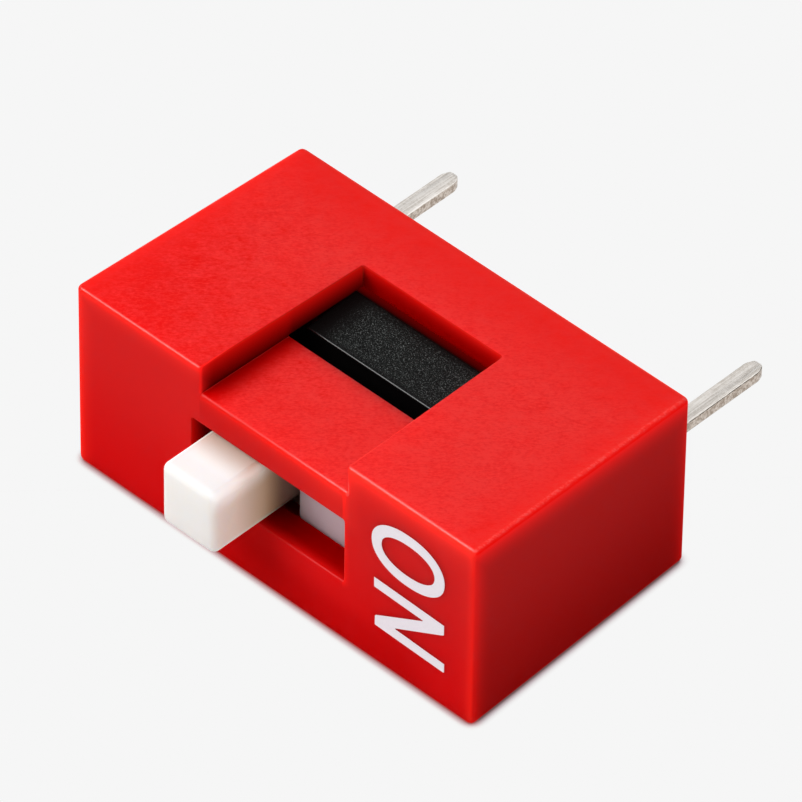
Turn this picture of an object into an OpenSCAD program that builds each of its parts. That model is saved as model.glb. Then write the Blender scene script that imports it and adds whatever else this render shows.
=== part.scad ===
// One-position slide DIP switch, lying on its plain end wall.
// +X runs from the OFF end to the ON end, +Y from the actuator face to the solder
// pins, and +Z points up to the grooved end wall. The origin is level with the
// switch's lowest edge, under the middle of its outline.

/* [Cover] */
// Width across the side walls, at its widest behind the actuator face
cover_w = 10.12; // [9.96:0.08:10.36]
// Height across the end walls, at its largest behind the actuator face
cover_h = 4.35; // [4.3:0.05:4.6]
// Depth from the actuator face to the board face
cover_d = 5.8; // [5.8:0.1:6.2]
// Draft of all four side walls and of the groove's sides, in degrees
draft = 1.4; // [1:0.1:1.5]
// Radius of the cover's outer edges
edge_r = 0.12; // [0.08:0.02:0.14]
// Thickness of the wall behind the actuator face
front_t = 0.65; // [0.55:0.05:0.65]
// Thickness of the end walls at the board face
end_t = 0.5; // [0.46:0.02:0.56]

/* [Slot] */
// Length of the slot that the knob slides in
slot_w = 3.86; // [3.8:0.02:3.9]
// Height of the slot
slot_h = 1.52; // [1.5:0.01:1.56]
// How far the slot's middle lies from the cover's middle, along the travel
slot_x = -0.13; // [-0.15:0.01:-0.1]
// How far the slot's middle lies above the cover's middle
slot_z = 0.04; // [0:0.01:0.05]

/* [Groove and windows] */
// Width of the groove at the actuator face
groove_w = 3.72; // [3.7:0.02:3.8]
// Depth of the groove at the actuator face
groove_h = 0.65; // [0.6:0.05:0.7]
// Length of the groove's floor, from the actuator face to the snap window
groove_d = 2.27; // [2.25:0.02:2.29]
// Distance from the actuator face to the snap windows' far edge
window_end = 4.16; // [4.12:0.04:4.28]

/* [Slider] */
// Width of the knob, along its travel
knob_w = 1.38; // [1.3:0.04:1.46]
// Height of the knob
knob_h = 1.48; // [1.4:0.02:1.48]
// How far the knob stands out of the actuator face
knob_out = 1.22; // [1.1:0.04:1.3]
// Radius of the knob's edges
knob_r = 0.17; // [0.13:0.02:0.19]
// Room left between the knob and either end of the slot
end_room = 0.4; // [0.36:0.02:0.42]

/* [Terminals] */
// Distance between the two rows of solder pins
pin_pitch = 7.62; // [7.62]
// Width of a pin, across the rows
pin_w = 0.36; // [0.3:0.02:0.4]
// Thickness of the stamped strip
pin_t = 0.24; // [0.2:0.02:0.26]
// How far the OFF pin stands out of the board face
off_pin_out = 2.98; // [2.8:0.02:3.4]
// How far the ON pin stands out of the board face
on_pin_out = 3.14; // [2.8:0.02:3.4]

/* [Hidden] */

// Colours
red = "#d8201f";
black = "#262324";
amber_grey = "#5a5148";
tin = "#c8c4bc";
white = "#f2efea";
gold = "#c9a24a";

// Smoothness of the round forms, and the overshoot of a cut
$fn = 48;
ball_fn = 24;
over = 0.5;

// Inside of the cover: a pocket open at the board face, with two pads that guide the
// slider, one of them under the groove's floor
taper = tan(draft);
narrowing = 2 * (cover_d - edge_r) * taper;
cover_back_w = cover_w - narrowing;
cover_back_h = cover_h - narrowing;
side_t = 0.65;
pocket_w = cover_back_w - 2 * side_t;
pocket_h = cover_back_h - 2 * end_t;
guide_h = 2;
pad_t = 0.5;
slot_r = 0.04;

// Base, set into the pocket behind the guide pads
base_gap = 0.02;
base_y = 2.64;
base_end = 5;
base_w = pocket_w - 2 * base_gap;
base_h = pocket_h - 2 * base_gap;
deck_y = 2.4;
deck_w = 8.2;
deck_h = 1.9;

// Snap lug, which fills a window: its ramp rises from the front edge to the catching edge
lug_w = 3.44;
lug_end = 3.97;
lug_front_h = base_h / 2 + 0.04;
lug_back_h = base_h / 2 + 0.14;

// Potting compound, poured in behind the base
potting_end = 5.6;

// Slider at OFF: knob, raised wings beside it and the carriage that both stand on.
// The carriage's ends meet the pocket's side walls at the two ends of the travel.
travel = slot_w - knob_w - 2 * end_room;
knob_x = slot_x - travel / 2;
stop_gap = 0.03;
carriage_x0 = stop_gap - pocket_w / 2;
carriage_x1 = pocket_w / 2 - stop_gap - travel;
carriage_y = 1.05;
carriage_t = 0.5;
carriage_h = 1.9;
wing_y = 0.7;
wing_h = 1.62;
wing_r = 0.08;
wing_gap = 0.28;
rail_end = 2.15;
rail_t = 0.4;
post_r = 0.14;
post_l = 0.22;
stake_gap = 0.01;

// Bridge contact: a bowed spring strip with a rubbing crest at each end
strip_t = 0.1;
strip_w = 0.8;
strip_x = knob_x - 0.35;
crest_x = 1.6;
strip_half = 1.85;
crest_gap = 0.02;
strip_steps = 48;
strip_back = carriage_y + carriage_t;
strip_rise = deck_y - crest_gap - strip_back - strip_t;

// Terminals: flat stamped blanks with a contact arm, a leg held in the base and a pin
arm_x = 0.9;
arm_h = 0.55;
leg_w = 0.8;
leg_end = 4.4;
tip_w = 0.2;
tip_l = 0.18;

// Moves a piece from the switch's own axes, centred on the actuator face, to rest
module resting() {
    pin_out = max(off_pin_out, on_pin_out);
    translate([0, (knob_out - cover_d - pin_out) / 2, cover_h / 2])
        children();
}

// The same piece on both end walls
module both_ends() {
    for (side = [0, 1])
        mirror([0, 0, side])
            children();
}

// A ball whose facets reach exactly r along each axis, with one corner there
module ball(r) {
    step = 360 / ball_fn;
    rotate_extrude($fn = ball_fn)
        polygon([for (a = [0:step:180]) r * [sin(a), -cos(a)]]);
}

// Block with rounded edges from y0 to y1: w wide and h high behind its front edge, and
// narrower towards y1 by slope on every side
module rounded_block(w, h, y0, y1, slope, r) {
    step = (y1 - y0 - 2 * r) * slope;
    hull()
        for (sx = [-1, 1], sz = [-1, 1]) {
            translate([sx * (w / 2 - r), y0 + r, sz * (h / 2 - r)])
                ball(r);
            translate([sx * (w / 2 - step - r), y1 - r, sz * (h / 2 - step - r)])
                ball(r);
        }
}

// Plate across the slot's direction, from x0 to x1 and y0 to y1, with rounded corners
module plate(x0, x1, h, y0, y1, r) {
    w = x1 - x0;
    translate([(x0 + x1) / 2, y1, 0])
        rotate([90, 0, 0])
            linear_extrude(y1 - y0) {
                square([w, h - 2 * r], center = true);
                square([w - 2 * r, h], center = true);
                for (sx = [-1, 1], sz = [-1, 1])
                    translate([sx * (w / 2 - r), sz * (h / 2 - r)])
                        circle(r);
            }
}

// Outline, seen on an end wall, of the groove between y0 and y1
module groove_outline(y0, y1) {
    half0 = groove_w / 2 - y0 * taper;
    half1 = groove_w / 2 - y1 * taper;
    polygon([[-half0, y0], [half0, y0], [half1, y1], [-half1, y1]]);
}

// Concave cutter that rounds the front edge of the groove's floor
module floor_edge_cut() {
    floor_z = cover_h / 2 - groove_h;
    translate([-groove_w / 2, 0, floor_z - edge_r])
        rotate([90, 0, 90])
            linear_extrude(groove_w)
                difference() {
                    translate([-over, 0])
                        square([edge_r + over, edge_r + over]);
                    translate([edge_r, 0])
                        circle(edge_r);
                }
}

// Groove in the upper end wall, with a rounded front edge
module groove_cut() {
    translate([0, 0, cover_h / 2 - groove_h])
        linear_extrude(groove_h + over)
            groove_outline(-over, groove_d);
    floor_edge_cut();
}

// Snap window through an end wall, from the end of the guide pad backwards
module window_cut() {
    translate([0, 0, guide_h / 2])
        linear_extrude(cover_h)
            groove_outline(groove_d, window_end);
}

// Pocket of the cover, with a guide pad standing into it from each end wall
module pocket() {
    pad_w = groove_w + 2 * pad_t;
    difference() {
        translate([-pocket_w / 2, front_t, -pocket_h / 2])
            cube([pocket_w, cover_d, pocket_h]);
        both_ends()
            translate([-pad_w / 2, front_t - over, guide_h / 2])
                cube([pad_w, groove_d - front_t + over, pocket_h]);
    }
}

// Slot through the wall behind the actuator face
module slot_cut() {
    translate([0, 0, slot_z])
        plate(slot_x - slot_w / 2, slot_x + slot_w / 2, slot_h, -over, front_t + over, slot_r);
}

// Moulded cover: one shell with the slot, the groove and both snap windows
module cover() {
    color(red)
        resting()
            difference() {
                rounded_block(cover_w, cover_h, 0, cover_d, taper, edge_r);
                pocket();
                slot_cut();
                groove_cut();
                both_ends()
                    window_cut();
            }
}

// Snap lug on the base's flank, seen through the window
module lug() {
    translate([-lug_w / 2, 0, 0])
        rotate([90, 0, 90])
            linear_extrude(lug_w)
                polygon([[base_y, 0], [base_y, lug_front_h], [lug_end, lug_back_h], [lug_end, 0]]);
}

// Moulded base: body, raised contact deck and a snap lug on each flank
module base() {
    color(black)
        resting()
            difference() {
                union() {
                    translate([-base_w / 2, base_y, -base_h / 2])
                        cube([base_w, base_end - base_y, base_h]);
                    translate([-deck_w / 2, deck_y, -deck_h / 2])
                        cube([deck_w, base_y - deck_y + over, deck_h]);
                    both_ends()
                        lug();
                }
                on_blank();
                off_blank();
            }
}

// Potting compound that seals the base and the pins
module potting() {
    color(amber_grey)
        resting()
            difference() {
                translate([-pocket_w / 2, base_end, -pocket_h / 2])
                    cube([pocket_w, potting_end - base_end, pocket_h]);
                on_blank();
                off_blank();
            }
}

// Flat blank of a terminal: contact arm, leg and solder pin with a cropped tip
module terminal_blank(pin_out) {
    pin_x = pin_pitch / 2;
    outer_x = pin_x + pin_w / 2;
    tip_y = cover_d + pin_out;
    translate([0, 0, -pin_t / 2])
        linear_extrude(pin_t) {
            translate([arm_x, deck_y])
                square([outer_x - arm_x, arm_h]);
            translate([outer_x - leg_w, deck_y])
                square([leg_w, leg_end - deck_y]);
            polygon([
                [pin_x - pin_w / 2, deck_y],
                [outer_x, deck_y],
                [outer_x, tip_y - tip_l],
                [pin_x + tip_w / 2, tip_y],
                [pin_x - tip_w / 2, tip_y],
                [pin_x - pin_w / 2, tip_y - tip_l]
            ]);
        }
}

// Blank on the ON side
module on_blank() {
    terminal_blank(on_pin_out);
}

// Blank on the OFF side: the same stamping turned over, its pin cropped shorter
module off_blank() {
    mirror([1, 0, 0])
        terminal_blank(off_pin_out);
}

// Terminal on the ON side
module on_terminal() {
    color(tin)
        resting()
            on_blank();
}

// Terminal on the OFF side
module off_terminal() {
    color(tin)
        resting()
            off_blank();
}

// Knob, rounded on every edge, in the middle of the slot's height
module knob() {
    translate([knob_x, 0, slot_z])
        rounded_block(knob_w, knob_h, -knob_out, strip_back - knob_r, 0, knob_r);
}

// Wings: the raised pads that close the slot on both sides of the knob
module wings() {
    reach = knob_w / 2 + wing_gap;
    wing_end = carriage_y + over / 2;
    plate(carriage_x0, knob_x - reach, wing_h, wing_y, wing_end, wing_r);
    plate(knob_x + reach, carriage_x1, wing_h, wing_y, wing_end, wing_r);
}

// Rails that run along the carriage's back, on both sides of the contact
module rails() {
    both_ends()
        translate([carriage_x0, strip_back - over / 2, carriage_h / 2 - rail_t])
            cube([carriage_x1 - carriage_x0, rail_end - strip_back + over / 2, rail_t]);
}

// Post that the contact is staked on
module post() {
    translate([strip_x, strip_back + post_l, 0])
        rotate([90, 0, 0])
            cylinder(r = post_r, h = post_l + over / 2);
}

// Moulded slider
module slider() {
    color(white)
        resting() {
            knob();
            wings();
            plate(carriage_x0, carriage_x1, carriage_h, carriage_y, strip_back, wing_r);
            rails();
            post();
        }
}

// Middle line of the bowed strip, as the distance behind its highest point
function bow(x) = strip_rise * (1 - cos(180 * x / crest_x)) / 2;

// Slope angle of that line
function bow_angle(x) = atan(strip_rise * (PI / 2 / crest_x) * sin(180 * x / crest_x));

// Point of the strip's edge at x, on the side of its middle line that side gives
function strip_point(x, side) =
    [x, bow(x)] + side * strip_t / 2 * [-sin(bow_angle(x)), cos(bow_angle(x))];

// Bridge contact, staked on the slider's post
module bridge_contact() {
    xs = [for (i = [0:strip_steps]) strip_half * (2 * i / strip_steps - 1)];
    rim = [for (x = xs) strip_point(x, -1)];
    inner = [for (i = [strip_steps:-1:0]) strip_point(xs[i], 1)];
    color(gold)
        resting()
            translate([strip_x, strip_back + strip_t / 2, 0])
                difference() {
                    translate([0, 0, -strip_w / 2])
                        linear_extrude(strip_w)
                            polygon(concat(rim, inner));
                    rotate([90, 0, 0])
                        cylinder(r = post_r + stake_gap, h = 2 * post_l, center = true);
                }
}

cover();
base();
potting();
off_terminal();
on_terminal();
slider();
bridge_contact();
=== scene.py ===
# One-position slide DIP switch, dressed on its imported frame.
from math import cos, pi, radians, sin, tan

import bmesh
import bpy
from mathutils import Matrix, Vector


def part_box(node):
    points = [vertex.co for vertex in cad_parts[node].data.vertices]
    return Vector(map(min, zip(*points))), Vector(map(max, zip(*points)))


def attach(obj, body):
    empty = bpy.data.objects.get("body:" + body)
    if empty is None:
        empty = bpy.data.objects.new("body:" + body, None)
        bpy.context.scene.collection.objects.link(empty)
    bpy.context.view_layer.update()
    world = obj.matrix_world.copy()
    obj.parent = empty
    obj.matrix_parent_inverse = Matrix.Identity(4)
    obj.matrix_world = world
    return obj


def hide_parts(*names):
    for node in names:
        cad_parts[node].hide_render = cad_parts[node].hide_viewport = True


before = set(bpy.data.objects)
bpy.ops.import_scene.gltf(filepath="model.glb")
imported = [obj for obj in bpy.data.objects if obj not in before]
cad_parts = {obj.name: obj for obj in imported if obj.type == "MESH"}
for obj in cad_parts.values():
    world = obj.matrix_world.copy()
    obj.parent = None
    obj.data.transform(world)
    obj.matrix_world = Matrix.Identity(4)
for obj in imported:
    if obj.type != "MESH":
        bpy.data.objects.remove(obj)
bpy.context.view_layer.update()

# ---------------------------------------------------------------------------
# Cover
# The moulded shell that everything else sits in: red polyamide with draft on all four
# walls, a slot for the knob, a groove in the upper end wall and a snap window in both.
# The end walls carry a fine spark-eroded grain, the other outer faces are smooth.
# ---------------------------------------------------------------------------
mm = 0.001
cover_low, cover_high = (Vector(corner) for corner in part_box("cover"))
face_y = cover_low.y
mid_z = (cover_low.z + cover_high.z) / 2

cover_w = (cover_high.x - cover_low.x) / mm
cover_h = (cover_high.z - cover_low.z) / mm
cover_d = (cover_high.y - cover_low.y) / mm
taper = tan(radians(1.4))
outer_r = 0.12
front_wall, side_wall, end_wall = 0.65, 0.65, 0.5
narrowing = 2 * (cover_d - outer_r) * taper
pocket_w = cover_w - narrowing - 2 * side_wall
pocket_h = cover_h - narrowing - 2 * end_wall
slot_left, slot_right, slot_h, slot_z, slot_r = -2.06, 1.80, 1.52, 0.04, 0.04
groove_w, groove_h = 3.72, 0.65
groove_end, window_end, window_r = 2.27, 4.16, 0.05
guide_h = 2.0
guide_w = groove_w + 1.0
corner_r = 0.16
overshoot = 0.5
slot_edge_r, lip_edge_r, groove_edge_r, end_edge_r, window_edge_r = 0.05, 0.10, 0.08, 0.045, 0.03
sharp = radians(20)
flat_angle = radians(0.4)
touching, close_by = 1e-3, 0.01


def rounded_rectangle(x0, x1, z0, z1, r, steps=6):
    """Rectangle seen on the actuator face, with rounded corners."""
    corners = [(x1 - r, z1 - r, 0), (x0 + r, z1 - r, 90), (x0 + r, z0 + r, 180), (x1 - r, z0 + r, 270)]
    return [
        (cx + r * cos(radians(turn + 90 * i / steps)), cz + r * sin(radians(turn + 90 * i / steps)))
        for cx, cz, turn in corners
        for i in range(steps + 1)
    ]


def on_face(outline, y):
    """Outline seen on the actuator face, as points at one depth."""
    return [(x, y, z) for x, z in outline]


def cover_ring(y):
    """The cover's four sharp corners at one depth."""
    half_w, half_h = (size / 2 - (y - outer_r) * taper for size in (cover_w, cover_h))
    return on_face([(-half_w, -half_h), (half_w, -half_h), (half_w, half_h), (-half_w, half_h)], y)


def groove_ring(y0, y1, z, r=0.0, steps=7):
    """Outline of the groove or the window between two depths, at one height. The two
    far corners may be rounded."""
    near, far = (groove_w / 2 - y * taper for y in (y0, y1))
    turns = [radians(90 * i / steps) for i in range(steps + 1)] if r else [0]
    right = [(far - r + r * cos(turn), y1 - r + r * sin(turn), z) for turn in turns]
    left = [(-x, y, z) for x, y, _ in reversed(right)]
    return [(-near, y0, z), (near, y0, z)] + right + left


def loft(first, last):
    """Closed block between two rings of points, in millimetres."""
    shape = bmesh.new()
    rings = [[shape.verts.new(point) for point in ring] for ring in (first, last)]
    for ring in rings:
        shape.faces.new(ring)
    count = len(first)
    for i in range(count):
        j = (i + 1) % count
        shape.faces.new([rings[0][i], rings[0][j], rings[1][j], rings[1][i]])
    bmesh.ops.recalc_face_normals(shape, faces=shape.faces)
    return loose_object(shape)


def loose_object(shape):
    """Object made from a shape, to be combined with others."""
    mesh = bpy.data.meshes.new("block")
    shape.to_mesh(mesh)
    shape.free()
    thing = bpy.data.objects.new("block", mesh)
    bpy.context.scene.collection.objects.link(thing)
    return thing


def box_block(low, high):
    """Plain rectangular block between two corners, in millimetres."""
    outline = [(low[0], low[2]), (high[0], low[2]), (high[0], high[2]), (low[0], high[2])]
    return loft(on_face(outline, low[1]), on_face(outline, high[1]))


def combine(base, steps):
    """Adds or cuts blocks one after another and returns the shape that is left."""
    for operation, tool in steps:
        change = base.modifiers.new("change", "BOOLEAN")
        change.operation = operation
        change.solver = "EXACT"
        change.object = tool
    reading = bpy.context.evaluated_depsgraph_get()
    mesh = bpy.data.meshes.new_from_object(base.evaluated_get(reading))
    for thing in [base] + [tool for _, tool in steps]:
        bpy.data.objects.remove(thing)
    shape = bmesh.new()
    shape.from_mesh(mesh)
    bmesh.ops.remove_doubles(shape, verts=shape.verts, dist=1e-5)
    bmesh.ops.dissolve_limit(shape, angle_limit=flat_angle, verts=shape.verts, edges=shape.edges)
    bmesh.ops.recalc_face_normals(shape, faces=shape.faces)
    return shape


def finished_piece(shape, name, finish):
    """Makes a visible piece from a shape in metres."""
    mesh = bpy.data.meshes.new(name)
    shape.to_mesh(mesh)
    shape.free()
    mesh.materials.clear()
    mesh.materials.append(finish)
    for polygon in mesh.polygons:
        polygon.material_index = 0
    mesh.shade_smooth()
    piece = bpy.data.objects.new(name, mesh)
    bpy.context.scene.collection.objects.link(piece)
    return piece


def rounded_piece(shape, name, finish, width, steps):
    """A visible piece whose weighed edges are rounded: by the width where the weight is 1."""
    piece = finished_piece(shape, name, finish)
    rounding = piece.modifiers.new("rounding", "BEVEL")
    rounding.width = width * mm
    rounding.segments = steps
    rounding.limit_method = "WEIGHT"
    rounding.use_clamp_overlap = False
    rounding.harden_normals = True
    rounding.miter_outer = "MITER_ARC"
    return piece


def weigh_edges(shape, share_of):
    """Gives each sharp edge of a shape its share of the piece's widest rounding."""
    weights = shape.edges.layers.float.new("bevel_weight_edge")
    for edge in shape.edges:
        if edge.is_manifold and abs(edge.calc_face_angle()) > sharp:
            edge[weights] = share_of(edge)


def to_frame(shape):
    """Moves a shape from millimetres about the actuator face's middle to the frame."""
    for vert in shape.verts:
        vert.co = Vector((vert.co.x * mm, face_y + vert.co.y * mm, mid_z + vert.co.z * mm))


class Signal:
    """One socket of a material. Sums, differences and products of signals and numbers
    add the Math nodes that they need."""

    def __init__(self, tree, socket):
        self.tree = tree
        self.socket = socket

    def node(self, kind, settings, values, out=0):
        """Adds a node: its settings first, then a value or a signal for each socket."""
        made = self.tree.nodes.new("ShaderNode" + kind)
        for name, value in settings.items():
            if name == "stops":
                stops = made.color_ramp.elements
                while len(stops) < len(value):
                    stops.new(0.5)
                for stop, (position, colour) in zip(stops, value):
                    stop.position = position
                    stop.color = colour
            else:
                setattr(made, name, value)
        for name, value in values.items():
            if isinstance(value, Signal):
                self.tree.links.new(value.socket, made.inputs[name])
            else:
                made.inputs[name].default_value = value
        return Signal(self.tree, made.outputs[out]) if len(made.outputs) else None

    def maths(self, operation, left, right):
        return self.node("Math", {"operation": operation}, {0: left, 1: right})

    def __add__(self, other):
        return self.maths("ADD", self, other)

    def __radd__(self, other):
        return self.maths("ADD", other, self)

    def __neg__(self):
        return self.maths("SUBTRACT", 0, self)

    def __sub__(self, other):
        return self.maths("SUBTRACT", self, other)

    def __rsub__(self, other):
        return self.maths("SUBTRACT", other, self)

    def __mul__(self, other):
        return self.maths("MULTIPLY", self, other)

    def __rmul__(self, other):
        return self.maths("MULTIPLY", other, self)


def new_finish(name):
    """Starts a material. Returns it with its Object coordinates in millimetres."""
    finish = bpy.data.materials.new(name)
    finish.use_nodes = True
    tree = finish.node_tree
    tree.nodes.clear()
    place = Signal(tree, tree.nodes.new("ShaderNodeTexCoord").outputs["Object"])
    return finish, place.node("VectorMath", {"operation": "SCALE"}, {0: place, "Scale": 1000})


def mottle(place, size, detail=2.0, roughness=0.5):
    """Noise whose lumps are about size millimetres across."""
    return place.node("TexNoise", {}, {"Vector": place, "Scale": 1 / size,
                                       "Detail": detail, "Roughness": roughness})


def blend_colours(amount, first, second):
    """Colour between two others, by an amount from 0 to 1."""
    return amount.node("Mix", {"data_type": "RGBA"}, {"Factor": amount, 6: first, 7: second}, 2)


def ramp(value, low, high):
    """0 below low, 1 above high, and a smooth rise between them."""
    return value.node("MapRange", {"interpolation_type": "SMOOTHSTEP"}, {"Value": value, 1: low, 2: high})


def along(place):
    """The three parts of a position or a direction."""
    return [place.node("SeparateXYZ", {}, {"Vector": place}, i) for i in range(3)]


def from_face(place):
    """Millimetres from the middle of the actuator face: across, into the body and up."""
    across, depth, height = along(place)
    return across, depth - face_y / mm, height - mid_z / mm


def facing(place):
    """The three parts of the direction that a surface faces."""
    return along(place.node("TexCoord", {}, {}, "Normal"))


def size_of(value):
    """A value without its sign."""
    return value.node("Math", {"operation": "ABSOLUTE"}, {0: value})


def greater(first, second):
    """The larger of two signals."""
    return first.node("Math", {"operation": "MAXIMUM"}, {0: first, 1: second})


def fade(distance, reach):
    """1 at an edge, falling to 0 at a distance of reach from it."""
    left = 1 - distance.node("Math", {"operation": "DIVIDE", "use_clamp": True}, {0: distance, 1: reach})
    return left * left


def finish_surface(place, values, height=None, strength=1.0, relief=0.01):
    """Ends a material: a Principled surface with bump from a height signal."""
    if height is not None:
        bump = place.node("Bump", {}, {"Height": height, "Strength": strength, "Distance": relief * mm})
        values = {**values, "Normal": bump}
    surface = place.node("BsdfPrincipled", {}, values)
    place.node("OutputMaterial", {}, {"Surface": surface})


hollow = combine(
    box_block((-pocket_w / 2, front_wall, -pocket_h / 2), (pocket_w / 2, cover_d + overshoot, pocket_h / 2)),
    [("DIFFERENCE", box_block((-guide_w / 2, 0, min(side * guide_h / 2, side * cover_h)),
                              (guide_w / 2, groove_end, max(side * guide_h / 2, side * cover_h))))
     for side in (1, -1)])
slot_outline = rounded_rectangle(slot_left, slot_right, slot_z - slot_h / 2, slot_z + slot_h / 2, slot_r)
shell = combine(loft(cover_ring(0), cover_ring(cover_d)), [
    ("DIFFERENCE", loose_object(hollow)),
    ("DIFFERENCE", loft(on_face(slot_outline, -overshoot), on_face(slot_outline, front_wall + overshoot))),
    ("DIFFERENCE", loft(groove_ring(-overshoot, groove_end, cover_h / 2 - groove_h),
                        groove_ring(-overshoot, groove_end, cover_h))),
    ("DIFFERENCE", loft(groove_ring(groove_end, window_end, guide_h / 2, window_r),
                        groove_ring(groove_end, window_end, cover_h, window_r))),
    ("DIFFERENCE", loft(groove_ring(groove_end, window_end, -cover_h, window_r),
                        groove_ring(groove_end, window_end, -guide_h / 2, window_r))),
])


def outer_walls(point):
    """Which of the cover's outer planes a point lies on."""
    corner = cover_ring(point.y)[2]
    gaps = {"front": point.y, "back": point.y - cover_d,
            "side": abs(point.x) - corner[0], "end": abs(point.z) - corner[2]}
    return {name for name, gap in gaps.items() if abs(gap) < touching}


def cover_edge_radius(edge):
    """Radius of one of the cover's edges, in millimetres."""
    first, last = (vert.co for vert in edge.verts)
    walls = outer_walls(first) & outer_walls(last)
    around_slot = all(slot_left - close_by < p.x < slot_right + close_by
                      and abs(p.z - slot_z) < slot_h / 2 + close_by for p in (first, last))
    if walls == {"front", "side"}:
        return corner_r if first.x > 0 else outer_r
    if len(walls) > 1:
        return outer_r
    if around_slot:
        return slot_edge_r if "front" in walls else 0
    if "front" in walls:
        return lip_edge_r if abs(first.z - last.z) < close_by else groove_edge_r
    if "end" in walls:
        return end_edge_r
    in_window = all(p.y < window_end + close_by and abs(p.z) > pocket_h / 2 - 2 * close_by
                    for p in (first, last))
    return window_edge_r if walls or in_window else 0


weigh_edges(shell, lambda edge: cover_edge_radius(edge) / corner_r)
to_frame(shell)

# Where a point lies: on which wall, and how far from which edge, in millimetres.
cover_red, place = new_finish("cover_red")
across, depth, height = from_face(place)
facing_x, facing_y, facing_z = facing(place)
in_slot = (ramp(slot_h / 2 + 0.05 - size_of(height - slot_z), 0, 0.03)
           * ramp(slot_right + 0.02 - across, 0, 0.02) * ramp(across - slot_left, -0.04, -0.02))
steep = size_of(facing_x)
outer = ramp(size_of(across), 3.0, 3.5)
rough_rim = ramp(size_of(facing_z), 0.45, 0.65) * ramp(steep, 0.15, 0.3) * outer
grained = greater(ramp(size_of(facing_z), 0.75, 0.98), rough_rim) * (1 - in_slot)
sideways = ramp(steep, 0.4, 0.9)
drafted = depth * taper - outer_r * taper
below_top = cover_h / 2 - height - drafted
from_side = cover_w / 2 - size_of(across) - drafted
from_back = cover_d - depth
over_groove = ramp(groove_w / 2 - size_of(across), -0.01, 0.01) * ramp(from_back, 0.3, 0.9)
to_right = ramp(across, -4.0, 4.5)
# Painted light: how near a point lies to the edges that get a brighter red.
near_lip = fade(cover_h / 2 - groove_h * over_groove - height, 0.22)
near_corner = fade(cover_w / 2 - size_of(across), 0.26)
near_slot = (fade(across - slot_right, 0.2) * ramp(across, slot_right - 0.05, slot_right)
             * ramp(height, -0.9, -0.65))
lit_edge = greater(near_lip, greater(near_corner, near_slot))
# Painted shade: darker further into the slot.
slot_shade = in_slot * ramp(depth, -0.08, 0.26)
facing_right = ramp(facing_x, 0.3, 0.8)
# Painted shade: masks for the groove and window walls, which darken further below the top.
walled = over_groove * (1 - grained) * ramp(depth, -0.02, 0.12) * ramp(height, 0.9, 1.0)
shaded = walled * greater(ramp(cover_h / 2 - height, -0.3, 0.5),
                          facing_right * ramp(cover_h / 2 - height, -0.12, 0.08))
# Painted shade: 1 low down, where the smooth walls are darkened towards the floor.
low = 1 - ramp(height, -2.0, 1.8)
# Painted shade: a dark band on the roundings that turn towards the side faces.
edge_shade_band = (ramp(steep, 0.6, 0.78) * (1 - ramp(steep, 0.93, 0.995))
           * ramp(size_of(facing_z), 0.12, 0.3) * outer)

# The grain of the end walls, drawn out a little along one diagonal.
streaked = place.node("Mapping", {"vector_type": "TEXTURE"},
                      {"Vector": place, "Rotation": (0, 0, pi / 4), "Scale": (2.0, 1, 1)})
grain = mottle(streaked, 0.045, 3.0, 0.65)
pits = mottle(streaked, 0.2, 6.0, 0.85)
blotches = mottle(place, 0.3, 5.0, 0.8)
clouds = mottle(place, 0.45, 3.0, 0.55)
rim_specks = ramp(grain, 0.46, 0.6)

# The colour: smooth walls, then the slot, groove and window, then the grained end walls, each with painted
# light and shade.
# Grain and random tone on the end walls, plus painted light: lighter towards the back and towards the ON end.
grain_and_light_tone = grained * (2.0 * blotches + 2.4 * grain - 2.2) + 0.2 + 0.6 * ramp(across + depth, -4.5, 3.0)
# Painted light and shade: a paler, pinker painted sheen high on the smooth walls and painted shade towards the
# floor, stronger on the side faces.
front_red = blend_colours(low, (0.69, 0.0155, 0.0155, 1), (0.68, 0.005, 0.006, 1))
side_red = blend_colours(low, (0.67, 0.0185, 0.0185, 1), (0.495, 0.0075, 0.0075, 1))
smooth_red = blend_colours(sideways, front_red, side_red)
# Painted light: a brighter red along the groove lip, the outer corners and the slot's right end.
lit_edge_red = blend_colours(lit_edge * (1 - sideways), smooth_red, (1.0, 0.016, 0.012, 1))
# Painted shadow of the knob: a darker red below the slot and beside the knob.
under_slot = ramp(-height, 1.0, 1.7) * ramp(across, -1.9, -1.1) * (1 - ramp(across, 3.2, 4.4))
beside_knob = over_groove * ramp(height, 0.8, 1.2) * (1 - ramp(across, -1.0, 0.6))
knob_shadow = greater(0.35 * under_slot, 0.22 * beside_knob) * (1 - sideways)
knob_shadow_red = blend_colours(knob_shadow, lit_edge_red, (0.35, 0.0, 0.0, 1))
# Painted shade inside the slot, deepening away from the face.
slot_shade_red = blend_colours(slot_shade, knob_shadow_red, (0.43, 0.0, 0.0, 1))
# Painted shade: the slot's left wall, which faces away from the key light, is darker.
left_wall_shade_red = blend_colours(in_slot * facing_right, slot_shade_red, (0.18, 0.0, 0.0, 1))
# Painted shade on the groove and window walls: dark red down the walls, near black deep in the window.
side_dim = blend_colours(ramp(height, 1.55, 2.1), (0.145, 0.0, 0.0, 1), (0.09, 0.0, 0.0, 1))
dim_red = blend_colours(ramp(depth, 2.2, 2.4), side_dim, (0.012, 0.0, 0.0, 1))
window_shade_red = blend_colours(facing_right, (0.35, 0.0, 0.0, 1), dim_red)
shaded_wall_red = blend_colours(shaded, left_wall_shade_red, window_shade_red)
# The paler, pinker end of this red is a painted sheen.
top_red = blend_colours(grain_and_light_tone, (0.87, 0.004, 0.004, 1), (1.0, 0.030, 0.028, 1))
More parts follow.
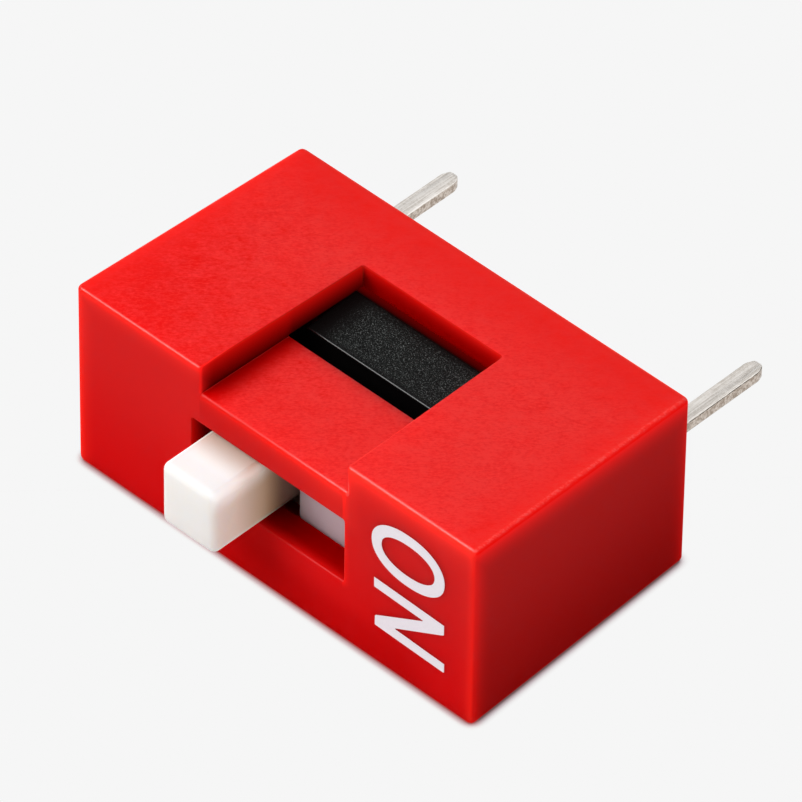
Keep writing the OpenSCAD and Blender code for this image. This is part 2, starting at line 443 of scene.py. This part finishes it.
# Painted reflection: the top's pink sheen fades to a deeper red near the back and side edges.
sheen_fade = greater(ramp(depth, 3.8, 5.8), fade(from_side, 1.2))
grained_red = blend_colours(sheen_fade * 0.9, top_red, (1.0, 0.008, 0.007, 1))
# Painted shadow of the groove's left wall on the groove floor beside it.
wall_shadow = (over_groove * grained * (1 - ramp(height, 1.6, 1.7))
              * (1 - ramp(across + groove_w / 2, 0.1, 0.65)))
shaded_red = blend_colours(wall_shadow, grained_red, (0.60, 0.0, 0.0, 1))
# Painted shade: the dark band on the side roundings, laid over all the colours above.
edge_shaded_red = blend_colours(edge_shade_band * 0.7, blend_colours(grained, shaded_wall_red, shaded_red), (0.86, 0.0, 0.0, 1))

# Painted highlights: gloss laid only where the key light's reflection falls, as bright lines and specks along
# the edges.
lit_rim = ramp(facing_x, 0.1, 0.3) * (1 - ramp(facing_x, 0.6, 0.75)) * ramp(facing_z, 0.3, 0.5) * outer
slot_lip_glint = (ramp(facing_z, 0.3, 0.5) * (1 - ramp(facing_z, 0.85, 0.95)) * ramp(-facing_y, 0.2, 0.4)
            * (1 - ramp(size_of(height - slot_z + slot_h / 2), 0.06, 0.1)))
lip_end_glint = (ramp(-facing_x, 0.03, 0.15) * ramp(-facing_y, 0.25, 0.5) * ramp(across, 1.7, 1.75)
           * (1 - ramp(size_of(height - cover_h / 2 + groove_h - 0.1), 0.1, 0.25))
           * ramp(2.0 - across, 0, 0.05))
glint = ramp(facing_z, 0.6, 0.75) * (1 - ramp(facing_z, 0.84, 0.94)) * ramp(-facing_y, 0.15, 0.35)
front_edge_glint = (glint * ramp(height, 1.25, 1.35) * (1 - ramp(depth, 0.25, 0.4))
              * (1 - 0.65 * over_groove * (1 - ramp(across, -0.5, 1.8))))
line_shine = (front_edge_glint + 0.35 * slot_lip_glint + 1.2 * lip_end_glint) * (0.3 + 0.8 * grain)
rim_glint_specks = (lit_rim * (1 - 0.4 * rim_specks) + 0.3 * fade(from_side, 0.4) * to_right * grained) * rim_specks
grain_shine = grained * (0.15 + 0.7 * (pits - 0.5))

# Painted light: a weak glow that fades away from the edges, for the light that the plastic carries round them.
front_glow = greater(fade(below_top - groove_h * over_groove, 0.5),
                     fade(from_side, 0.5) * (1 - 0.6 * to_right))
side_glow = greater(1.8 * fade(below_top, 0.72),
                    greater(0.9 * fade(depth, 0.46), 0.9 * fade(from_back, 0.46)))
top_glow = greater(fade(from_side, 0.35), fade(from_back, 0.35))
lip_right = ramp(across, 0.6, 1.5) * (1 - ramp(across, 1.86, 2.3)) * ramp(height, 0.55, 0.9)
panel_glow = front_glow * (1 - 0.65 * over_groove * (1 - ramp(across, -1.9, 1.7))) + 0.3 * lip_right
right_top = fade(below_top, 1.0) * (1 - over_groove) * ramp(across, 1.5, 2.0)
smooth_glow = ((panel_glow + 0.75 * right_top) * (1 - sideways) * (1 - walled) * (1 - slot_shade)
               + side_glow * sideways)
glow_share = 0.28
glow = (glow_share * smooth_glow * (1 - grained) + glow_share * top_glow * grained) * (1 - 0.3 * edge_shade_band)
glow_red = blend_colours(sideways, (1.0, 0.05, 0.025, 1), (1.0, 0.008, 0.005, 1))
finish_surface(place, {
    "Base Color": edge_shaded_red,
    "Roughness": 0.36 + 0.16 * grained + 0.1 * (grain - 0.5),
    "Specular IOR Level": 0.0,
    "Coat Weight": line_shine + rim_glint_specks + grain_shine,
    "Coat Roughness": 0.3,
    "Coat Tint": (1.0, 0.94, 0.84, 1),
    "Subsurface Weight": 1.0,
    "Subsurface Radius": (1.0, 0.08, 0.06),
    "Subsurface Scale": 0.8 * mm,
    "Emission Color": blend_colours(glow, (0, 0, 0, 1), glow_red),
    "Emission Strength": 1.0,
}, grain * (0.12 + 0.88 * grained) + 0.15 * clouds, 0.5, 0.006)

cover = rounded_piece(shell, "cover_shell", cover_red, corner_r, 5)
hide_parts("cover")
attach(cover, "housing")

# ---------------------------------------------------------------------------
# Slider
# The moulded actuator: a white polyamide knob that stands out of the slot, wings
# that keep the slot closed on both sides of it, and the carriage that both stand on.
# ---------------------------------------------------------------------------
slider_low, slider_high = (Vector(corner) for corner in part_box("slider"))
knob_w, knob_h, knob_r = 1.38, 1.48, 0.17
knob_x = -0.97
knob_out = (face_y - slider_low.y) / mm
carriage_left, carriage_right = slider_low.x / mm, slider_high.x / mm
carriage_y, carriage_back, carriage_h = 1.05, 1.55, 1.9
wing_y, wing_h, wing_r, wing_gap = 0.7, 1.62, 0.08, 0.28
rail_end, rail_t = 2.15, 0.4
post_r, post_l = 0.14, 0.22
post_x = knob_x - 0.35
post_sides = 32
wing_edge_r = 0.034
overlap = 0.1
reach = knob_w / 2 + wing_gap


def pad(x0, x1, h, y0, y1):
    """Block with rounded corners on the actuator side, centred on the slider's height."""
    outline = rounded_rectangle(x0, x1, -h / 2, h / 2, wing_r)
    return loft(on_face(outline, y0), on_face(outline, y1))


post_turns = [2 * pi * i / post_sides for i in range(post_sides)]
post_outline = [(post_x + post_r * cos(turn), post_r * sin(turn)) for turn in post_turns]
body = combine(pad(carriage_left, carriage_right, carriage_h, carriage_y, carriage_back), [
    ("UNION", box_block((knob_x - knob_w / 2, -knob_out, slot_z - knob_h / 2),
                        (knob_x + knob_w / 2, carriage_y + 2 * overlap, slot_z + knob_h / 2))),
    ("UNION", pad(carriage_left, knob_x - reach, wing_h, wing_y, carriage_y + overlap)),
    ("UNION", pad(knob_x + reach, carriage_right, wing_h, wing_y, carriage_y + overlap)),
    ("UNION", box_block((carriage_left, carriage_back - overlap, carriage_h / 2 - rail_t),
                        (carriage_right, rail_end, carriage_h / 2))),
    ("UNION", box_block((carriage_left, carriage_back - overlap, -carriage_h / 2),
                        (carriage_right, rail_end, rail_t - carriage_h / 2))),
    ("UNION", loft(on_face(post_outline, carriage_back - overlap),
                   on_face(post_outline, carriage_back + post_l))),
])


def slider_share(edge):
    """The knob's edges outside the cover are fully rounded, the other outer ones a little."""
    ends = [vert.co for vert in edge.verts]
    on_knob = all(abs(end.x - knob_x) < knob_w / 2 + touching
                  and abs(end.z - slot_z) < knob_h / 2 + touching for end in ends)
    if on_knob and min(end.y for end in ends) < 0:
        return 1.0
    return wing_edge_r / knob_r if edge.is_convex else 0.0


weigh_edges(body, slider_share)
to_frame(body)

# White where it stands outside; browner and darker towards the slot, a painted shade for the shadow that the
# slot casts on it.
slider_white, place = new_finish("slider_white")
lumps = mottle(place, 0.25, 2.0)
pores = mottle(place, 0.03, 2.0)
across, depth, height = from_face(place)
height = height - slot_z
facing_x, facing_y, facing_z = facing(place)
on_side = ramp(facing_x, -0.1, 0.9)
# Painted shade at the knob's root, reaching further back along the shaded side.
root_shade = ramp(depth, -0.75, 0.1) * (1 - on_side) + ramp(depth, -1.0, 0.35) * on_side
past_knob = ramp(size_of(across - knob_x), knob_w / 2 + 0.02, knob_w / 2 + 0.1)
# Painted shade: the wings behind the slot get a dim mauve, for shade with red light bounced from the cover.
wing_shade = ramp(depth, 0.45, 0.68) * past_knob
outside = 1 - ramp(depth, -0.1, 0.65)
outer_white = blend_colours(lumps, (0.965, 0.95, 0.925, 1), (0.99, 0.985, 0.965, 1))
root_shaded_white = blend_colours(root_shade, outer_white, (0.49, 0.34, 0.26, 1))
deep_shaded_white = blend_colours(ramp(depth, 0.0, 0.55), root_shaded_white, (0.25, 0.15, 0.11, 1))

# Painted light: glows on the shaded side, the underside and the edges, for light carried through the white
# plastic and fill light falling there.
in_shade = on_side * outside
under = ramp(-facing_z, 0.0, 0.4) * outside
upper = ramp(height, 0.2, 0.75)
shade_glow = blend_colours(in_shade * upper, (0.11, 0.06, 0.015, 1), (0.29, 0.285, 0.265, 1))
left_glow = blend_colours(ramp(-facing_x, 0.1, 0.7) * outside, (0, 0, 0, 1), (0.20, 0.32, 0.32, 1))
low_glow = blend_colours(ramp(height, -0.74, -0.5), (0.08, 0.22, 0.19, 1), shade_glow)
front_glow = blend_colours(ramp(-facing_y, 0.5, 0.9) * outside, left_glow, (0.045, 0.03, 0.0, 1))
side_glow = blend_colours(in_shade, front_glow, low_glow)
under_glow = blend_colours(in_shade, (0.14, 0.12, 0.09, 1), (0.11, 0.19, 0.155, 1))
finish_surface(place, {
    "Base Color": blend_colours(wing_shade, deep_shaded_white, (0.60, 0.49, 0.53, 1)),
    "Roughness": 0.5 + 0.12 * (lumps - 0.5),
    "Specular IOR Level": 0.15,
    "Subsurface Weight": 1.0,
    "Subsurface Radius": (1.0, 0.93, 0.84),
    "Subsurface Scale": 0.5 * mm,
    "Emission Color": blend_colours(under * 0.8, side_glow, under_glow),
    "Emission Strength": 1.0,
}, pores + 2 * lumps, 0.25, 0.004)
slider = rounded_piece(body, "slider_body", slider_white, knob_r, 6)
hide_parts("slider")
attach(slider, "slider")

# ---------------------------------------------------------------------------
# Bridge contact
# A bowed strip of gold-plated spring bronze, staked on the slider's post. A crest at
# each end rubs on the terminals' arms and joins them when the slider is at ON.
# ---------------------------------------------------------------------------
contact_gold, place = new_finish("contact_gold")
rolled = place.node("Mapping", {}, {"Vector": place, "Scale": (0.1, 1, 1)})
lines = mottle(rolled, 0.02, 3.0)
finish_surface(place, {
    "Base Color": blend_colours(lines, (0.72, 0.50, 0.20, 1), (0.92, 0.70, 0.34, 1)),
    "Metallic": 1.0,
    "Roughness": 0.25 + 0.15 * lines,
}, lines, 0.3, 0.002)
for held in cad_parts["bridge_contact"].material_slots:
    held.material = contact_gold

# ---------------------------------------------------------------------------
# Base
# Black glass-filled polyamide: a block that closes the cover's pocket, a raised deck
# for the terminals' arms, and a snap lug on each flank that shows in the window.
# ---------------------------------------------------------------------------
base_black, place = new_finish("base_black")
across, depth, height = from_face(place)
height = size_of(height)
_, facing_y, facing_z = facing(place)
speck = mottle(place, 0.022, 2.0, 0.7)
broad_mottle = mottle(place, 0.4, 2.0)
sparkle = ramp(speck, 0.56, 0.72)
glint_fleck = ramp(speck, 0.52, 0.80)
flat = ramp(size_of(facing_z), 0.6, 0.95)
# Painted light: a lit patch in the middle of each lug's face, fading dark towards its left end and its back.
lug_lit_patch = ramp(depth, 2.62, 2.8) * (1 - ramp(depth, 3.6, 3.98)) * ramp(across, -1.5, -0.95)
# Painted light: a dim red glow behind the lug, for light bounced from the cover's red wall.
red_bounce_glow = ramp(depth, 3.95, 4.2) * (1 - ramp(depth, 4.3, 4.4)) * ramp(height, 1.3, 1.4)
# Painted highlight along the lug's front edge, laid as gloss.
lug_edge_glint = ramp(-facing_y, 0.2, 0.4) * ramp(size_of(facing_z), 0.35, 0.55) * (1 - flat)
black_with_lit_patch = blend_colours(lug_lit_patch * broad_mottle, (0.0015, 0.0012, 0.0012, 1), (0.006, 0.0075, 0.007, 1))
# Painted glints: pale flecks on the lit patch of the lug's face.
glinting_black = blend_colours(lug_lit_patch * flat * glint_fleck, black_with_lit_patch, (0.19, 0.207, 0.202, 1))
finish_surface(place, {
    "Base Color": glinting_black,
    "Roughness": 0.38 + 0.2 * (speck - 0.5),
    "Specular IOR Level": 0.04,
    "Coat Weight": lug_lit_patch * flat * (0.014 + 0.95 * sparkle) + lug_edge_glint * (0.7 + 1.2 * speck),
    "Coat Roughness": 0.2,
    "Emission Color": blend_colours(red_bounce_glow, (0, 0, 0, 1), (0.10, 0.0, 0.0, 1)),
    "Emission Strength": 1.0,
}, speck + 0.2 * broad_mottle, 0.7, 0.014)


def copy_of_node(node):
    """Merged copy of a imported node's mesh, with its flat faces melted together."""
    shape = bmesh.new()
    shape.from_mesh(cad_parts[node].data)
    bmesh.ops.remove_doubles(shape, verts=shape.verts, dist=1e-7)
    bmesh.ops.dissolve_limit(shape, angle_limit=flat_angle, verts=shape.verts, edges=shape.edges)
    bmesh.ops.recalc_face_normals(shape, faces=shape.faces)
    return shape


lug_end, lug_foot = 3.97, 1.6
lug_edge_r, base_edge_r = 0.1, 0.04


def base_share(edge):
    """The catching edge of each lug is rounded more than the base's other outer edges."""
    if not edge.is_convex:
        return 0.0
    at_lug_end = all(abs(vert.co.y - face_y - lug_end * mm) < touching * mm
                     and abs(vert.co.z - mid_z) > lug_foot * mm for vert in edge.verts)
    return 1.0 if at_lug_end else base_edge_r / lug_edge_r


block = copy_of_node("base")
weigh_edges(block, base_share)
base = rounded_piece(block, "base_block", base_black, lug_edge_r, 4)
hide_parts("base")
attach(base, "housing")

# ---------------------------------------------------------------------------
# Terminals
# Two flat blanks stamped from tinned strip, one turned over: a contact arm inside, a
# leg held by the base, and the solder pin, whose faces keep the rolling lines of the
# strip and whose cut sides are rougher and darker.
# ---------------------------------------------------------------------------
tin, place = new_finish("tin")
drawn = place.node("Mapping", {}, {"Vector": place, "Scale": (1, 0.025, 1)})
lines = mottle(drawn, 0.022, 3.0, 0.6)
patches = mottle(place, 0.16, 4.0, 0.6)
flecks = mottle(place, 0.05, 3.0, 0.6)
upright = size_of(facing(place)[2])
sheared = 1 - ramp(upright, 0.35, 0.75)
worn = ramp(lines * 0.6 + patches * 0.15 + flecks * 0.25, 0.38, 0.6)
rolled_tin = blend_colours(worn, (0.56, 0.515, 0.465, 1), (0.82, 0.785, 0.745, 1))
torn = ramp(flecks * 0.6 + patches * 0.4, 0.4, 0.6)
sheared_tin = blend_colours(torn, (0.36, 0.285, 0.225, 1), (0.70, 0.62, 0.55, 1))
# Painted light along the edge between a pin's face and its cut side: a highlight on the pin at negative x, a
# dark shaded line on the other.
pin_edge_light_shade = ramp(upright, 0.15, 0.35) * (1 - ramp(upright, 0.7, 0.9)) * ramp(patches, 0.36, 0.5)
cut_tin = blend_colours(sheared, rolled_tin, sheared_tin)
edge_light_shade_tin = blend_colours(ramp(along(place)[0], -1, 1), (0.88, 0.85, 0.81, 1), (0.10, 0.085, 0.07, 1))
finish_surface(place, {
    "Base Color": blend_colours(pin_edge_light_shade, cut_tin, edge_light_shade_tin),
    "Metallic": 1.0,
    "Roughness": 0.28 + 0.2 * patches,
}, lines + 0.4 * patches + 0.8 * sheared * flecks, 0.5, 0.005)
strip_t, tip_l = 0.24, 0.4
tip_r, strip_edge_r = 0.07, 0.025


def strip_share(edge, tip_y):
    """The pin's end is rounded across the strip, and the strip's long edges a little."""
    at_tip = all(vert.co.y > tip_y - tip_l * mm for vert in edge.verts)
    across_strip = abs(edge.verts[0].co.z - edge.verts[1].co.z) > strip_t / 2 * mm
    return 1.0 if at_tip and across_strip else strip_edge_r / tip_r


for node, name in (("off_terminal", "off_pin_strip"), ("on_terminal", "on_pin_strip")):
    blank = copy_of_node(node)
    tip_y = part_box(node)[1][1]
    weigh_edges(blank, lambda edge: strip_share(edge, tip_y))
    strip = rounded_piece(blank, name, tin, tip_r, 4)
    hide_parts(node)
    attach(strip, "housing")

# ---------------------------------------------------------------------------
# Potting compound
# Dark epoxy poured in behind the base, where it seals the pocket and the pins. The
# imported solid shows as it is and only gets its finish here.
# ---------------------------------------------------------------------------
resin, place = new_finish("resin")
swirl = mottle(place, 0.6, 3.0)
finish_surface(place, {
    "Base Color": blend_colours(swirl, (0.05, 0.04, 0.03, 1), (0.11, 0.085, 0.06, 1)),
    "Roughness": 0.22 + 0.1 * swirl,
    "Specular IOR Level": 0.5,
}, swirl, 0.3, 0.02)
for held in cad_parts["potting"].material_slots:
    held.material = resin

# ---------------------------------------------------------------------------
# Lettering
# The word ON, pad-printed in pale ink on the ON end of the actuator face. It reads
# from one end wall to the other, with the letters' tops towards that end.
# ---------------------------------------------------------------------------
ink_t, ink_lift = 0.008, 0.006
ring_power = 2.17
ring_place = (3.417, 0.88)
ring_outer = (0.907, 0.63)
ring_inner = (0.662, 0.38)
ring_sides = 96
stem_n = [(2.585, -0.07), (2.585, -0.30), (3.81, -0.335), (3.80, -0.36), (2.64, -0.99), (2.615, -1.02),
          (2.615, -1.24), (4.33, -1.285), (4.35, -1.27), (4.35, -1.07), (3.13, -1.025), (3.12, -1.0),
          (4.28, -0.385), (4.33, -0.35), (4.33, -0.12)]

ink, place = new_finish("ink")
film = mottle(place, 0.05, 3.0)
finish_surface(place, {
    "Base Color": blend_colours(film, (0.90, 0.83, 0.89, 1), (0.97, 0.91, 0.96, 1)),
    "Roughness": 0.5 + 0.1 * film,
    "Specular IOR Level": 0.2,
}, film, 0.2, 0.002)


def ring_point(radii, turn):
    """Point of the round letter, on the actuator face."""
    aside, up = cos(turn), sin(turn)
    stretch = (abs(aside) ** ring_power + abs(up) ** ring_power) ** (-1 / ring_power)
    return ring_place[0] + radii[0] * stretch * aside, ring_place[1] + radii[1] * stretch * up


def ink_film(loops, name):
    """Thin layer of ink bounded by one closed loop, or between an outer and an inner one."""
    shape = bmesh.new()
    levels = [[[shape.verts.new(point) for point in on_face(loop, y)] for loop in loops]
              for y in (-ink_lift, ink_t - ink_lift)]
    for i, loop in enumerate(loops):
        for j in range(len(loop)):
            k = (j + 1) % len(loop)
            shape.faces.new([levels[0][i][j], levels[0][i][k], levels[1][i][k], levels[1][i][j]])
    for level in levels:
        if len(loops) == 1:
            shape.faces.new(level[0])
            continue
        for j in range(len(loops[0])):
            k = (j + 1) % len(loops[0])
            shape.faces.new([level[0][j], level[0][k], level[1][k], level[1][j]])
    bmesh.ops.recalc_face_normals(shape, faces=shape.faces)
    to_frame(shape)
    piece = finished_piece(shape, name, ink)
    piece.data.shade_flat()
    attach(piece, "housing")


turns = [2 * pi * i / ring_sides for i in range(ring_sides)]
ink_film([[ring_point(radii, turn) for turn in turns] for radii in (ring_outer, ring_inner)], "letter_O")
ink_film([stem_n], "letter_N")

# ---------------------------------------------------------------------------
# Stage
# A pale floor, three soft lights and the camera. The floor lies along the drafted end
# wall that the switch rests on, and carries a painted contact shadow, tinted red by the cover.
# ---------------------------------------------------------------------------
floor_half = 0.6
rest_y = face_y + outer_r * mm
floor_gap = 0.002
shadow_reach = 0.2
paper = (0.9215, 0.9215, 0.9215, 1)
floor_mesh = bpy.data.meshes.new("floor")
floor_corners = [(x, y, (y - rest_y) * taper - floor_gap * mm)
                 for x, y in ((-floor_half, -floor_half), (floor_half, -floor_half),
                              (floor_half, floor_half), (-floor_half, floor_half))]
floor_mesh.from_pydata(floor_corners, [], [(0, 1, 2, 3)])
floor = bpy.data.objects.new("floor", floor_mesh)
bpy.context.scene.collection.objects.link(floor)
pale, place = new_finish("pale_floor")
seen = place.node("LightPath", {}, {}, "Is Camera Ray")
glossy = place.node("LightPath", {}, {}, "Is Glossy Ray")
through = place.node("LightPath", {}, {}, "Is Transmission Ray")
# Painted contact shadow: ambient occlusion turned into a shadow colour, redder in front of the actuator face.
openness = place.node("AmbientOcclusion", {"samples": 16}, {"Distance": shadow_reach * mm}, "AO")
side_shadow_colour = place.node("ValToRGB", {"stops": [
    (0.36, (0.15, 0.07, 0.07, 1)), (0.44, (0.24, 0.17, 0.18, 1)), (0.56, (0.46, 0.37, 0.39, 1)),
    (0.68, (0.67, 0.61, 0.63, 1)), (0.80, (0.83, 0.81, 0.81, 1)), (0.95, paper)]}, {"Fac": openness})
front_shadow_colour = place.node("ValToRGB", {"stops": [
    (0.36, (0.40, 0.09, 0.09, 1)), (0.44, (0.46, 0.25, 0.25, 1)), (0.56, (0.55, 0.37, 0.38, 1)),
    (0.68, (0.70, 0.55, 0.57, 1)), (0.80, (0.87, 0.83, 0.82, 1)), (0.9, paper)]}, {"Fac": openness})
in_front = ramp(-from_face(place)[1], -0.3, -0.05)
contact_shadow_colour = blend_colours(in_front, side_shadow_colour, front_shadow_colour)
lit = place.node("BsdfDiffuse", {}, {"Color": (0.55, 0.55, 0.55, 1)})
glow = place.node("Emission", {}, {"Color": contact_shadow_colour, "Strength": 1.0})
share = place.node("MixShader", {}, {0: seen + glossy + through, 1: lit, 2: glow})
place.node("OutputMaterial", {}, {"Surface": share})
floor_mesh.materials.append(pale)

world = bpy.data.worlds.new("studio")
bpy.context.scene.world = world
world.use_nodes = True
world.node_tree.nodes.clear()
seen, glossy, through = (
    Signal(world.node_tree, world.node_tree.nodes.new("ShaderNodeLightPath").outputs[ray])
    for ray in ("Is Camera Ray", "Is Glossy Ray", "Is Transmission Ray"))
around = seen.node("Background", {}, {"Color": (1, 1, 1, 1), "Strength": 0.25})
backdrop = seen.node("Background", {}, {"Color": paper, "Strength": 1.0})
sky = seen.node("MixShader", {}, {0: seen + glossy + through, 1: around, 2: backdrop})
seen.node("OutputWorld", {}, {"Surface": sky})


def softbox(name, direction, size, power):
    """Square soft light that looks at the switch from a direction."""
    lamp = bpy.data.lights.new(name, "AREA")
    lamp.shape = "SQUARE"
    lamp.size = size
    lamp.energy = power
    thing = bpy.data.objects.new(name, lamp)
    away = Vector(direction).normalized()
    thing.location = away * light_distance + Vector((0, 0, mid_z))
    thing.rotation_euler = away.to_track_quat("Z", "Y").to_euler()
    bpy.context.scene.collection.objects.link(thing)


light_distance = 0.16
softbox("key", (-0.42, -0.60, 0.68), 0.10, 0.205)
softbox("top", (0.1, 0.25, 1.0), 0.14, 0.056)
softbox("fill", (1.0, -0.35, 0.45), 0.12, 0.030)

lens_place = Vector((93.608, -99.580, 129.374)) * mm
lens_aim = Vector((-0.311, -0.164, 2.1)) * mm
lens_roll = radians(0.856)
focal_pixels, picture_pixels, sensor_w = 10155.39, 802, 36
camera = bpy.data.cameras.new("camera")
camera.sensor_width = sensor_w
camera.lens = sensor_w * focal_pixels / picture_pixels
camera.clip_start = 0.01
camera.clip_end = 10
viewer = bpy.data.objects.new("camera", camera)
turn = (lens_place - lens_aim).to_track_quat("Z", "Y").to_matrix() @ Matrix.Rotation(lens_roll, 3, "Z")
viewer.matrix_world = Matrix.Translation(lens_place) @ turn.to_4x4()
bpy.context.scene.collection.objects.link(viewer)
bpy.context.scene.camera = viewer
bpy.context.scene.view_settings.view_transform = "Standard"
